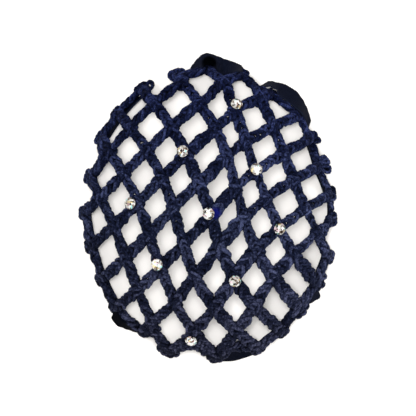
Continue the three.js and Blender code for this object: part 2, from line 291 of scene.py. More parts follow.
def yarn_ring():
    """A ring of yarn of radius 1, with a UV map that runs along the yarn and round it."""
    bm = bmesh.new()
    upright = Matrix.Translation((1.0, 0.0, 0.0)) @ Matrix.Rotation(math.pi / 2, 4, "X")
    bmesh.ops.create_circle(bm, segments=YARN_SIDES, radius=YARN_RADIUS, matrix=upright)
    bmesh.ops.spin(
        bm,
        geom=bm.verts[:] + bm.edges[:],
        cent=(0, 0, 0),
        axis=(0, 0, 1),
        angle=math.tau,
        steps=RING_STEPS,
        use_merge=True,
    )
    bmesh.ops.recalc_face_normals(bm, faces=bm.faces)
    yarn_map = bm.loops.layers.uv.new("yarn")
    for face in bm.faces:
        middle = face.calc_center_median()
        turn_there = math.atan2(middle.y, middle.x)
        side_there = math.atan2(middle.z, math.hypot(middle.x, middle.y) - 1.0)
        for corner in face.loops:
            spot = corner.vert.co
            turn = math.atan2(spot.y, spot.x)
            side = math.atan2(spot.z, math.hypot(spot.x, spot.y) - 1.0)
            along = turn_there + (turn - turn_there + math.pi) % math.tau - math.pi
            round_it = side_there + (side - side_there + math.pi) % math.tau - math.pi
            corner[yarn_map].uv = (along / math.tau, round_it / math.tau)
    return bm


def bend_ring(bm, course):
    """Moves the ring's points so that the yarn's middle follows a course from 0 to a full turn."""
    for vert in bm.verts:
        turn = math.atan2(vert.co.y, vert.co.x)
        out = math.hypot(vert.co.x, vert.co.y) - 1.0
        here, ahead = course(turn), course(turn + LOOK_AHEAD)
        run = (ahead - here).normalized()
        side = run.cross(UP).normalized()
        vert.co = here + side * out + side.cross(run) * vert.co.z


CHAIN_LOOP_LENGTH = 4.2
CHAIN_LOOP_HALF_WIDTH = 1.9
TAIL_WIDTH = 0.35
HEAD_WIDENING = 0.8
TAIL_HEIGHT = 0.7
LEG_ARCH = 0.25
HEAD_DIP = 1.5


def chain_course(turn):
    """The middle of the yarn in one chain loop: its tail at a turn of 0 and its head at pi."""
    head = (1.0 - math.cos(turn)) / 2.0
    return Vector(
        (
            -math.cos(turn) * CHAIN_LOOP_LENGTH / 2.0,
            math.sin(turn) * CHAIN_LOOP_HALF_WIDTH * (TAIL_WIDTH + HEAD_WIDENING * head),
            TAIL_HEIGHT + LEG_ARCH * abs(math.sin(turn)) - HEAD_DIP * head**2,
        )
    )


def loop_mesh(name, course):
    """One bent ring of yarn as a mesh, in millimetres."""
    bm = yarn_ring()
    bend_ring(bm, course)
    mesh = bpy.data.meshes.new(name)
    bm.to_mesh(mesh)
    bm.free()
    return mesh


chain_loop = loop_mesh("chain_loop", chain_course)
print("faces in one chain loop:", len(chain_loop.polygons))

# %% [markdown]
# ## Fuller and leaner stitches
# Crocheted by hand, the chains are not equally thick everywhere. The stitches are slightly thicker
# toward the near end of the cover, and a table of swells makes them fuller or leaner round single
# meshes, where the photo's meshes are smaller or larger. Each swell is given by the photo's pixel,
# its reach in millimetres and its gain, and fades out like a bell.

# %% Swells of the stitches
THINNING = 0.0014
Swell = namedtuple("Swell", "across down reach gain")
SWELLS = [
    Swell(226, 219, 6.0, 0.3),
    Swell(238, 247, 6.0, 0.5),
    Swell(215, 188, 6.0, 0.4),
    Swell(215, 276, 6.0, 0.37),
    Swell(274, 254, 6.0, 0.28),
    Swell(294, 278, 6.0, 0.6),
    Swell(274, 304, 6.0, 0.25),
    Swell(253, 276, 5.0, 0.12),
    Swell(205, 156, 6.0, 0.42),
    Swell(232, 306, 6.0, 0.23),
    Swell(191, 129, 6.0, 0.32),
    Swell(144, 261, 6.0, 0.22),
    Swell(133, 230, 6.0, 0.18),
    Swell(149, 126, 6.0, 0.14),
    Swell(252, 118, 6.0, 0.2),
    Swell(175, 104, 6.0, 0.1),
    Swell(243, 90, 5.0, 0.15),
    Swell(248, 194, 5.0, -0.4),
    Swell(239, 165, 5.0, -0.2),
    Swell(228, 136, 5.0, -0.12),
    Swell(155, 295, 6.0, -0.18),
    Swell(171, 330, 6.0, -0.32),
    Swell(298, 232, 6.0, -0.28),
    Swell(321, 212, 5.0, -0.4),
    Swell(259, 225, 5.0, -0.3),
]


def swell_at(place):
    """How full the stitches are at a place on the plan, 1 where no swell reaches."""
    fullness = 1.0
    for row in SWELLS:
        middle = at_pixel(row.across, row.down)
        away = math.hypot(place.x - middle.x, place.y - middle.y)
        fullness += row.gain * math.exp(-((away / row.reach) ** 2))
    return fullness


print("swells:", len(SWELLS), "fullness at the crown:", round(swell_at(Vector((0.0, 0.0, 0.0))), 2))

# %% [markdown]
# ## Laying stitches along a course
# A crochet chain has a V of two legs in front and a bump of yarn behind each stitch. So two loops are
# laid for each stitch: one facing out, and a smaller one half a stitch before it, turned to the
# back. Every copy follows its strand, faces out from the dome, and differs a little in size, tilt
# and place, as handwork does, and the chain twists slowly along its way. The copies are joined in
# one bmesh, where an attribute called shade gives each loop a number of its own, from which the
# yarn's material takes a lighter or darker blue.

# %% Helpers that lay loops along a course
STITCH_PITCH = 2.2
STITCH_SEED = 11
TWIST_STEP = 0.31
TWIST_SPACING = 7.7
TWIST_REACH = 1.1
ROLL_REACH = 0.25
YAW_REACH = 0.2
SIDEWAYS_REACH = 0.3
STITCH_SIZES = (0.9, 1.15)
BACK_SHRINK = 0.15
stitch_chance = random.Random(STITCH_SEED)


def either_way(reach):
    """A chance number within the reach on either side of 0."""
    return stitch_chance.uniform(-reach, reach)


def length_along(points):
    """The distance from the first point to each one."""
    marks = [0.0]
    for before, after in zip(points, points[1:]):
        marks.append(marks[-1] + (after - before).length)
    return marks


def point_at(points, marks, distance):
    """The place and the direction at a distance along a line of points."""
    i = 1
    while i < len(marks) - 1 and marks[i] < distance:
        i += 1
    part = (distance - marks[i - 1]) / (marks[i] - marks[i - 1])
    run = points[i] - points[i - 1]
    return points[i - 1] + run * part, run.normalized()


def facing(place, run, out):
    """A matrix that puts x along the run, z nearly along out, and the origin at the place."""
    across = out.cross(run).normalized()
    upward = run.cross(across)
    turn = Matrix((run, across, upward)).transposed().to_4x4()
    return Matrix.Translation(place) @ turn


def lay(bm, mesh, placing, shade):
    """Adds one copy of a mesh to a bmesh, with its own shade."""
    copy = mesh.copy()
    copy.transform(placing)
    mark = copy.attributes.new("shade", "FLOAT", "POINT")
    mark.data.foreach_set("value", [shade] * len(copy.vertices))
    bm.from_mesh(copy)
    bpy.data.meshes.remove(copy)


def lay_chain(bm, points, roll_seed, girth=1.0):
    """Lays chain loops along a line of points on the dome, and a bump of yarn behind each."""
    marks = length_along(points)
    count = round(marks[-1] / STITCH_PITCH)
    pitch = marks[-1] / count
    for index in range(count):
        spot = Vector((index * TWIST_STEP, roll_seed * TWIST_SPACING, 0.0))
        roll = noise.noise(spot) * TWIST_REACH
        for back in (0, 1):
            place, run = point_at(points, marks, (index + 0.5 - back * 0.5) * pitch)
            tilt = Matrix.Rotation(roll + either_way(ROLL_REACH) + back * math.pi, 4, "X")
            yaw = Matrix.Rotation(either_way(YAW_REACH), 4, "Z")
            size = stitch_chance.uniform(*STITCH_SIZES) * (1.0 - BACK_SHRINK * back) * girth
            size *= (1.0 - THINNING * place.y) * swell_at(place)
            aside = Matrix.Translation((0.0, either_way(SIDEWAYS_REACH), 0.0))
            fit = aside @ tilt @ yaw @ Matrix.Scale(size, 4)
            placing = facing(place, run, dome_normal(place)) @ fit
            lay(bm, chain_loop, placing, stitch_chance.random())
    return count


print("stitch pitch:", STITCH_PITCH, "mm, loops a stitch: 2")

# %% [markdown]
# ## From a bmesh to a piece
# So far everything lies in millimetres round the middle of the dome. The next helper keeps all of a
# bmesh just above the floor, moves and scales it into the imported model's own frame, and puts it in
# the place of the CAD node that it stands for.

# %% Helper that finishes a piece
FLOOR_GAP = 0.03


def into_place(bm):
    """Turns millimetres from the middle of the plan into metres in the model's own frame."""
    bmesh.ops.translate(bm, vec=PLAN_CENTRE, verts=bm.verts)
    bmesh.ops.scale(bm, vec=(MM, MM, MM), verts=bm.verts)


def finish_piece(bm, name, node):
    """Makes a piece of the object from a bmesh, in the place of a CAD node."""
    for vert in bm.verts:
        vert.co.z = max(vert.co.z, FLOOR_GAP)
    into_place(bm)
    mesh = bpy.data.meshes.new(name)
    bm.to_mesh(mesh)
    bm.free()
    mesh.shade_smooth()
    piece = bpy.data.objects.new(name, mesh)
    bpy.context.scene.collection.objects.link(piece)
    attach(piece, "root")
    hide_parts(node)
    mesh.calc_loop_triangles()
    print(name, "triangles:", len(mesh.loop_triangles))
    return piece


print("lowest point of a piece:", FLOOR_GAP, "mm")

# %% [markdown]
# ## The two families of strands
# Each strand is a course on the dome. The right-hand family lies on top at the crossings and the
# left-hand one below, so each course is lifted or lowered a little near a crossing. A cosine makes
# that rise soft on both sides. All chains of a family are one piece.

# %% Left and right strands
COURSE_STEPS = 90
CROSSING_REACH = 3.4
LEFT_DIP = -0.55
RIGHT_LIFT = 0.5


def lift_near_crossings(point, places, lift):
    """How far a strand rises or dips near a crossing, falling off smoothly on both sides."""
    flat = Vector((point.x, point.y, 0.0))
    nearest = min(((flat - place).length for place in places), default=CROSSING_REACH)
    if nearest >= CROSSING_REACH:
        return 0.0
    return lift * math.cos(nearest / CROSSING_REACH * math.pi / 2) ** 2


def strand_course(strand, lift):
    """The points that a strand's chain follows on the dome."""
    places = [place for names, place in crossings.items() if strand.name in names]
    course = []
    for step in range(COURSE_STEPS + 1):
        point = dome_point(strand_plan(strand, step / COURSE_STEPS))
        rise = lift_near_crossings(point, places, lift)
        course.append(point + dome_normal(point) * rise)
    return course


def strand_family(name, strands, lift):
    """One piece of all the chains that run the same way."""
    bm = bmesh.new()
    stitches = 0
    for row, strand in enumerate(strands):
        stitches += lay_chain(bm, strand_course(strand, lift), row + lift)
    print(name, "stitches:", stitches)
    return finish_piece(bm, name, "net")


left_chains = strand_family("net_left_chains", LEFT_STRANDS, LEFT_DIP)
right_chains = strand_family("net_right_chains", RIGHT_STRANDS, RIGHT_LIFT)

# %% [markdown]
# ## The rim
# The edge of the cover is a row of short chains from knot to knot. Only between knots A and B, at the
# upper left, is there none, as in the photo. Some of the links follow the oval, and others are drawn
# in toward the middle like the string of a bow, which the dip tells. The girth is the size of the
# link's stitches, which are tighter at the right and at the top.

# %% Rim chain, link by link
RIM_STEPS = 12
RIM_SEED = 20
USUAL_GIRTH = 1.05
Link = namedtuple("Link", "start end dip girth", defaults=[USUAL_GIRTH])
LINKS = [
    Link("B", "C", 0.0),
    Link("C", "D", 0.2),
    Link("D", "E", 3.3),
    Link("E", "F", 4.7),
    Link("F", "G", 0.9),
    Link("G", "H", 1.0),
    Link("H", "I", 0.7),
    Link("I", "J", 0.6),
    Link("J", "K", 3.2),
    Link("K", "L", 5.0),
    Link("L", "M", 3.5),
    Link("M", "N", 0.7),
    Link("N", "O", 1.2),
    Link("O", "P", 0.4),
    Link("P", "Q", 0.6),
    Link("Q", "R", 3.7),
    Link("R", "S", -0.2, 0.78),
    Link("S", "T", 0.6, 0.9),
    Link("T", "U", 0.4),
    Link("U", "V", 0.5),
    Link("V", "W", 0.9),
    Link("W", "X", 1.7, 0.8),
    Link("X", "Y", 3.4, 0.85),
    Link("Y", "A", 1.6, 0.95),
]


def link_course(link):
    """The points of a link of the rim chain, drawn in from the rim by its dip at the middle."""
    turn = short_turn(KNOT_DEG[link.end] - KNOT_DEG[link.start])
    course = []
    for step in range(RIM_STEPS + 1):
        part = step / RIM_STEPS
        plan = rim_point(KNOT_DEG[link.start] + turn * part)
        inward = link.dip * math.sin(math.pi * part)
        course.append(dome_point(plan - plan.normalized() * inward))
    return course


rim_bm = bmesh.new()
rim_stitches = sum(
    lay_chain(rim_bm, link_course(link), RIM_SEED + number, link.girth)
    for number, link in enumerate(LINKS)
)
print("rim stitches:", rim_stitches)
rim_chains = finish_piece(rim_bm, "net_rim_chains", "net")

# %% [markdown]
# ## Knots
# Where two chains meet, the yarn is wrapped round both of them in a single crochet. It shows as
# short slanted bars of yarn across the upper chain. Each wrap is the same ring of yarn, bent to an
# oval that stands across the chain, and a crossing gets two of them.

# %% Wraps round the crossings and the rim knots
WRAP_HALF_WIDTH = 2.15
WRAP_HALF_HEIGHT = 1.6
WRAP_LEAN = 0.35


def bend_wrap(bm):
    """Moves the ring's points on to an oval that stands across the chain, leaning a little."""
    for vert in bm.verts:
        turn = math.atan2(vert.co.y, vert.co.x)
        out = math.hypot(vert.co.x, vert.co.y) - 1.0
        across, up = math.cos(turn), math.sin(turn)
        oval = Vector((WRAP_LEAN * up, WRAP_HALF_WIDTH * across, WRAP_HALF_HEIGHT * up))
        vert.co = oval + Vector((0.0, across, up)) * out + Vector((vert.co.z, 0.0, 0.0))


wrap_bm = yarn_ring()
bend_wrap(wrap_bm)
bmesh.ops.recalc_face_normals(wrap_bm, faces=wrap_bm.faces)
wrap_loop = bpy.data.meshes.new("wrap_loop")
wrap_bm.to_mesh(wrap_loop)
wrap_bm.free()


WRAP_SLANTS = (0.2, 0.6)
WRAP_SIZES = (0.88, 1.02)


def wrap_knot(bm, place, run, apart):
    """Wraps a crossing twice, on both sides of its middle."""
    out = dome_normal(place)
    for side in (-1.0, 1.0):
        slant = Matrix.Rotation(side * stitch_chance.uniform(*WRAP_SLANTS), 4, "Z")
        size = Matrix.Scale(stitch_chance.uniform(*WRAP_SIZES), 4)
        spot = place + run * apart * side
        placing = facing(spot, run, out) @ slant @ size
        lay(bm, wrap_loop, placing, stitch_chance.random())


print("faces in one wrap:", len(wrap_loop.polygons))

# %% [markdown]
# The stitches also round off the corners between the chains. One chain loop fills each of the four
# corners of a crossing. It points away from the crossing, and the sharper the corner, the further
# out it lies, because there the chains part further out.

# %% Loops in the corners of a crossing
CHAIN_HALF_WIDTH = 2.2
CORNER_FILL = 0.1
CORNER_LOOP_REACH = 2.8
CORNER_LIFT = -0.2
CORNER_ROLL = 0.4


def fill_corner(bm, place, first, second):
    """Lays a loop into the corner between two directions, out to where the chains part."""
    out = dome_normal(place)
    bisector = (first + second).normalized()
    half_angle = first.angle(second) / 2.0
    reach = CHAIN_HALF_WIDTH * swell_at(place) / math.sin(half_angle) + CORNER_FILL
    middle = reach - CORNER_LOOP_REACH
    roll = Matrix.Rotation(either_way(CORNER_ROLL), 4, "X")
    placing = facing(place + bisector * middle + out * CORNER_LIFT, bisector, out) @ roll
    lay(bm, chain_loop, placing, stitch_chance.random())


def course_run(strand, here):
    """The direction of a strand where it passes nearest to a place."""
    course = strand_course(strand, 0.0)
    nearest = min(range(1, len(course) - 1), key=lambda i: (course[i] - here).length)
    return (course[nearest + 1] - course[nearest - 1]).normalized()


print("corner loops:", 4 * len(crossings))

# %% [markdown]
# At the rim the stitches that hold the ribbon stand out as small bumps. Each is a loop with a
# smaller one inside, so that no hole is left in it. Most rim knots have three of these side by side,
# and a table adds more where a bump is broader or stands out further. Each row names the knot and
# gives the loop's shift along the rim and its reach outward in millimetres.

# %% Bumps at the rim, and all knots together
BUMP_SQUEEZE = Matrix.Diagonal((1.0, 0.8, 1.0, 1.0))
BUMP_FAN = 0.3
BUMP_YAW = 0.25
BUMP_LIFTS = (0.2, 1.4)
BUMP_ROLL = 0.6
BUMP_SIZES = (1.0, 0.55)


def bump_loop(bm, knot, shift, reach):
    """Lays one loop that stands out from the rim at a knot, as the stitches round the ribbon do."""
    place = dome_point(rim_point(knot.deg))
    run = UP.cross(dome_normal(place)).normalized()
    yaw = BUMP_FAN * shift + either_way(BUMP_YAW)
    outward = Matrix.Rotation(yaw, 3, "Z") @ run.cross(UP)
    spot = place + run * shift + outward * reach + UP * stitch_chance.uniform(*BUMP_LIFTS)
    roll = Matrix.Rotation(either_way(BUMP_ROLL), 4, "X")
    placing = facing(spot, outward, UP) @ roll @ BUMP_SQUEEZE
    for size in BUMP_SIZES:
        lay(bm, chain_loop, placing @ Matrix.Scale(size, 4), stitch_chance.random())


CROSSING_WRAPS_APART = 1.0
RIM_WRAPS_APART = 0.9
BUMP_SHIFTS = (-1.0, 0.0, 1.0)
UNDER_THE_RIBBON = ("J", "W")
EXTRA_LOOPS = [
    ("A", -2.2, -0.4),
    ("A", 1.5, -0.4),
    ("B", -1.8, -1.2),
    ("B", -4.0, -1.2),
    ("K", -3.4, -1.0),
    ("K", -2.2, -0.8),
    ("K", 2.0, -0.8),
    ("K", 3.2, -1.2),
    ("O", -1.6, 1.0),
    ("O", -0.2, 1.4),
    ("O", 1.2, 0.9),
    ("P", 0.5, 0.9),
    ("P", 2.6, 0.5),
    ("T", -1.5, 1.9),
    ("T", -0.8, 2.2),
    ("T", 0.0, 2.3),
    ("T", 0.8, 2.1),
    ("T", 1.5, 1.7),
    ("T", 0.0, 0.8),
    ("U", 0.3, 1.0),
    ("U", -1.2, 1.2),
]
STRAND_ROWS = {row.name: row for row in LEFT_STRANDS + RIGHT_STRANDS}
RIM_ROWS = {knot.name: knot for knot in RIM_KNOTS}
knot_bm = bmesh.new()
for (left_name, right_name), plan in crossings.items():
    here = dome_point(plan)
    left_run = course_run(STRAND_ROWS[left_name], here)
    right_run = course_run(STRAND_ROWS[right_name], here)
    for side in (-1.0, 1.0):
        for end in (-1.0, 1.0):
            fill_corner(knot_bm, here, left_run * side, right_run * end)
    wrap_knot(knot_bm, here, right_run, CROSSING_WRAPS_APART)
for knot in RIM_KNOTS:
    place = dome_point(rim_point(knot.deg))
    wrap_knot(knot_bm, place, UP.cross(dome_normal(place)).normalized(), RIM_WRAPS_APART)
    for shift in BUMP_SHIFTS if knot.name not in UNDER_THE_RIBBON else ():
        bump_loop(knot_bm, knot, shift, 0.0)
for knot_name, shift, reach in EXTRA_LOOPS:
    bump_loop(knot_bm, RIM_ROWS[knot_name], shift, reach)
knots = finish_piece(knot_bm, "net_knots", "net")
print("wrapped knots:", len(crossings) + len(RIM_KNOTS), "extra loops:", len(EXTRA_LOOPS))

# %% [markdown]
# ## The ribbon's course
# A satin ribbon is threaded in and out of the rim. Its course is a table of stations round the rim.
# Each gives the angle in degrees and then, in millimetres, how far the ribbon's low and high edges
# stand outside the rim chain, the ribbon's width there, and the height of its low edge where it is
# lifted off the floor. Between two stations the measures ease from one to the next. Inside the net
# the ribbon is drawn up narrow behind the chains, and outside it spreads to its full width and
# leans out in slack loops.

# %% Ribbon sections
RIBBON_THICK = 0.5
RIBBON_SECTIONS = 540
RIBBON_ROWS = 8
FOOT_HEIGHT = 0.3
Station = namedtuple("Station", "deg outer inner wide foot", defaults=[FOOT_HEIGHT])
STATION_ROWS = [
    (0, -0.5, -1.2, 2.4),
    (5, -0.5, -1.2, 2.4),
    (9, -1.5, -2.3, 4.0),
    (39, -1.5, -2.3, 4.0),
    (40.3, 0.5, -1.0, 3.4, 1.2),
    (41, 2.0, 0.2, 3.4, 2.0),
    (42.2, 3.2, 0.8, 4.2, 2.0),
    (44.8, 3.8, 1.2, 6.0, 1.0),
    (47.5, 4.5, 1.2, 7.5, 0.4),
    (50.5, 5.6, 1.0, 8.0),
    (54, 6.4, 0.8, 8.0),
    (58.5, 6.1, 0.9, 8.0),
    (59.8, 5.8, 1.2, 7.0),
    (60.6, 5.5, 2.5, 6.0),
    (63.5, 4.4, 2.2, 6.0),
    (65.5, 3.2, 0.9, 5.0),
    (66.5, 1.0, -1.0, 4.5),
    (69, -2.4, -2.8, 4.0),
    (73, -2.6, -3.0, 3.4),
    (75, 0.6, -0.8, 3.4),
    (76.5, 3.0, 0.8, 6.0),
    (77.8, 3.7, 0.6, 8.0),
    (80.5, 4.1, -0.8, 8.0),
    (83.5, 4.5, -2.6, 8.4),
    (86.5, 5.3, -0.8, 8.4),
    (88.5, 5.9, 1.6, 8.0),
    (90.5, 6.4, 1.8, 8.0),
    (92, 5.9, 0.9, 8.0),
    (94, 4.4, -0.2, 7.0),
    (95.6, 2.6, -1.0, 5.0),
    (97.6, 0.4, -1.8, 4.0),
    (100, -2.0, -2.6, 4.0),
    (104, -2.4, -2.8, 4.0),
    (108, -3.8, -4.4, 4.0),
    (112, -5.4, -6.0, 4.0),
    (115, -4.2, -4.7, 4.0),
    (118, -2.0, -2.5, 4.0),
    (123, -1.2, -2.7, 4.0),
    (141, -1.2, -2.7, 4.0),
    (145, -1.5, -2.3, 4.0),
    (152.6, -3.2, -3.6, 4.0),
    (160, -1.5, -2.3, 4.0),
    (172, -4.5, -4.9, 4.0),
    (180, -1.5, -2.3, 4.0),
    (225.5, -1.5, -2.3, 4.0),
    (226.6, 2.0, 0.5, 3.4, 3.2),
    (227.5, 4.2, 0.8, 7.0, 1.0),
    (229, 4.4, 1.0, 8.0),
    (231, 4.6, 1.4, 8.0),
    (234, 3.5, 1.0, 8.0),
    (237, 2.4, 0.1, 8.0),
    (240, 1.4, -0.8, 7.5),
    (243, 0.4, -1.7, 6.0),
    (246.5, -1.0, -3.0, 4.5),
    (250, -2.6, -3.1, 4.0),
    (254, -2.4, -2.8, 4.0),
    (261, -4.6, -5.1, 4.0),
    (268, -2.6, -3.2, 4.4),
    (271, 0.5, -1.5, 4.5),
    (274, 1.8, -0.4, 7.0),
    (280, 2.3, -2.2, 8.0),
    (284, 2.1, -3.0, 8.0),
    (288, 1.9, -1.5, 7.0),
    (291, 1.2, -0.6, 5.0),
    (294, -1.5, -2.3, 4.0),
    (313.5, -1.5, -2.3, 4.0),
    (315.5, 0.6, -1.0, 3.4, 0.8),
    (317.5, 2.0, -0.8, 4.5),
    (320, 3.1, 0.0, 6.0),
    (323, 4.3, 0.9, 6.5),
    (324, 3.4, 0.6, 5.0),
    (326, -1.5, -2.3, 4.0),
    (340, -1.5, -2.3, 4.0),
    (348.6, -3.5, -3.9, 4.0),
    (357, -1.0, -1.7, 3.0),
    (360, -0.5, -1.2, 2.4),
]
STATIONS = [Station(*row) for row in STATION_ROWS]


def station_at(deg):
    """The ribbon's measures at an angle, easing from one station to the next."""
    after = next(i for i, row in enumerate(STATIONS) if row.deg > deg or i == len(STATIONS) - 1)
    last, following = STATIONS[after - 1], STATIONS[after]
    part = (deg - last.deg) / (following.deg - last.deg)
    eased = part * part * (3.0 - 2.0 * part)
    return Station(*(a + (b - a) * eased for a, b in zip(last, following)))


def ribbon_section(deg):
    """The ribbon's two edges at an angle of the rim: the low outer one and the high inner one."""
    row = station_at(deg)
    angle = math.radians(deg)
    outward = Vector((math.cos(angle), math.sin(angle), 0.0))
    radius = rim_radius(angle)
    height = math.sqrt(max(0.0, row.wide**2 - (row.outer - row.inner) ** 2))
    low = outward * (radius + row.outer) + UP * row.foot
    high = outward * (radius + row.inner) + UP * (row.foot + height)
    return low, high


print("ribbon stations:", len(STATIONS), "width at the top loop:", station_at(90.5).wide, "mm")

# %% [markdown]
# ## The ribbon
# The real ribbon is one flat strip. Here it is one closed band, as in the CAD model: a flat grid of
# faces whose columns are moved on to the stations' course, and then given its thickness by a
# modifier. The grid brings its own UV map, which runs round the rim and across the strip, so that
# the weave can follow it. An attribute called hollow marks the places where a bent loop hides from
# the light, because the photo shows them nearly black. It is even over most of a hollow and fades
# out near its edge.

# %% Ribbon band
Hollow = namedtuple("Hollow", "deg out half_turn half_reach depth")
HOLLOWS = [
    Hollow(89.6, 2.3, 3.1, 3.2, 1.0),
    Hollow(234.0, 2.0, 14.0, 6.0, 0.8),
    Hollow(281.0, 0.0, 12.0, 6.0, 0.35),
]
EDGE_SHARPNESS = 4.0
WELD_REACH = 0.001


def hollow_at(deg, part):
    """How deep a place lies in one of the ribbon's shaded hollows, from 0 to 1."""
    row = station_at(deg)
    out = row.outer + (row.inner - row.outer) * part
    deepest = 0.0
    for hollow in HOLLOWS:
        turn = (deg - hollow.deg) / hollow.half_turn
        reach = (out - hollow.out) / hollow.half_reach
        inside = EDGE_SHARPNESS * (1.0 - math.hypot(turn, reach))
        deepest = max(deepest, hollow.depth * min(1.0, max(0.0, inside)))
    return deepest


def make_ribbon():
    """The closed band, from a flat grid whose columns are moved on to the rim's course."""
    bm = bmesh.new()
    strip_map = bm.loops.layers.uv.new("strip")
    hollow = bm.verts.layers.float.new("hollow")
    bmesh.ops.create_grid(
        bm, x_segments=RIBBON_SECTIONS, y_segments=RIBBON_ROWS, size=0.5, calc_uvs=True
    )
    for vert in bm.verts:
        deg, part = (vert.co.x + 0.5) * 360.0, vert.co.y + 0.5
        low, high = ribbon_section(deg)
        vert[hollow] = hollow_at(deg, part)
        vert.co = low.lerp(high, part)
    bmesh.ops.remove_doubles(bm, verts=bm.verts, dist=WELD_REACH)
    print("strip map:", strip_map.name, "ribbon corners:", len(bm.verts))
    return bm


ribbon_bm = make_ribbon()
ribbon = finish_piece(ribbon_bm, "ribbon_band", "ribbon")
thicken = ribbon.modifiers.new("thickness", "SOLIDIFY")
thicken.thickness = RIBBON_THICK * MM
thicken.offset = 0.0

# %% [markdown]
# ## Floor and light
# The photograph has a plain white ground and soft light. So the floor is one plain face, and a lamp
# stands nearly straight above, a little to the upper left, which gives each mesh a bright floor with
# a narrow soft shadow along one side. Two large lamps at the sides and an even white world light
# fill the shadows and let the round of the yarn show.

# %% Floor, lamps and world
FLOOR_SIZE = 3.0
floor_bm = bmesh.new()
bmesh.ops.create_grid(floor_bm, x_segments=1, y_segments=1, size=FLOOR_SIZE / 2)
floor_mesh = bpy.data.meshes.new("floor")
floor_bm.to_mesh(floor_mesh)
floor_bm.free()
floor = bpy.data.objects.new("floor", floor_mesh)
bpy.context.scene.collection.objects.link(floor)

Lamp = namedtuple("Lamp", "name size power place")
LAMPS = [
    Lamp("lamp_above", 0.45, 36.0, (-0.07, 0.08, 2.2)),
    Lamp("lamp_right", 1.0, 22.0, (1.3, -1.1, 1.2)),
    Lamp("lamp_left", 1.0, 22.0, (-1.3, 1.1, 1.2)),
]
for row in LAMPS:
    lamp_data = bpy.data.lights.new(row.name, "AREA")
    lamp_data.size = row.size
    lamp_data.energy = row.power
    lamp = bpy.data.objects.new(row.name, lamp_data)
    lamp.location = row.place
    lamp.rotation_euler = (-Vector(row.place)).to_track_quat("-Z", "Y").to_euler()
    bpy.context.scene.collection.objects.link(lamp)

WORLD_STRENGTH = 0.42
world = bpy.data.worlds.new("studio")
bpy.context.scene.world = world
world.use_nodes = True
background = world.node_tree.nodes["Background"]
background.inputs["Color"].default_value = (1.0, 1.0, 1.0, 1.0)
background.inputs["Strength"].default_value = WORLD_STRENGTH
bpy.context.scene.view_settings.view_transform = "Standard"
print("lamps:", [row.name for row in LAMPS])

# %% [markdown]
# ## Materials
# No picture is used: every color comes from nodes, laid out by the objects' own coordinates, by a
# layer of yarn or strip coordinates, or by an attribute written while the piece was made. A few
# helpers come first. Most of them return the output that the next node needs, so a material reads
# in the order in which its color grows.

# %% Material helpers
def new_material(name):
    """A material, its node tree and its Principled shader."""
    material = bpy.data.materials.new(name)
    material.use_nodes = True
    return material, material.node_tree, material.node_tree.nodes["Principled BSDF"]


def connect(tree, node, inputs):
    """Links each input to another node's output, or sets it to a value."""
    for name, value in inputs.items():
        if isinstance(value, bpy.types.NodeSocket):
            tree.links.new(value, node.inputs[name])
        else:
            node.inputs[name].default_value = value


def add_node(tree, kind, inputs):
    """A new node with its inputs linked or set."""
    node = tree.nodes.new(kind)
    connect(tree, node, inputs)
    return node


def attribute(tree, name):
    """The number that a piece's mesh carries under a name."""
    node = tree.nodes.new("ShaderNodeAttribute")
    node.attribute_name = name
    return node.outputs["Fac"]


def uv_layer(tree, name):
    """The coordinates that a piece's mesh carries under a name."""
    node = tree.nodes.new("ShaderNodeUVMap")
    node.uv_map = name
    return node.outputs["UV"]


def mix_colors(tree, factor, first, second, blend="MIX"):
    """Two colors mixed by a factor."""
    node = tree.nodes.new("ShaderNodeMix")
    node.data_type = "RGBA"
    node.blend_type = blend
    connect(tree, node, {"Factor": factor, "A": first, "B": second})
    return node.outputs["Result"]


def multiply(tree, first, second):
    """Two colors multiplied."""
    return mix_colors(tree, 1.0, first, second, "MULTIPLY")


def map_range(tree, value, before, after=(0.0, 1.0)):
    """A value carried from the range before to the range after."""
    ends = {"From Min": before[0], "From Max": before[1], "To Min": after[0], "To Max": after[1]}
    return add_node(tree, "ShaderNodeMapRange", {"Value": value, **ends}).outputs["Result"]


def color_ramp(tree, value, steps, interpolation="LINEAR"):
    """The color of a value on a ramp with one element for each (position, color) of the table."""
    node = add_node(tree, "ShaderNodeValToRGB", {"Fac": value})
    node.color_ramp.interpolation = interpolation
    first, last = node.color_ramp.elements
    first.position, first.color = steps[0]
    last.position, last.color = steps[-1]
    for position, color in steps[1:-1]:
        node.color_ramp.elements.new(position).color = color
    return node.outputs["Color"]


print("helpers ready, from new_material to color_ramp")
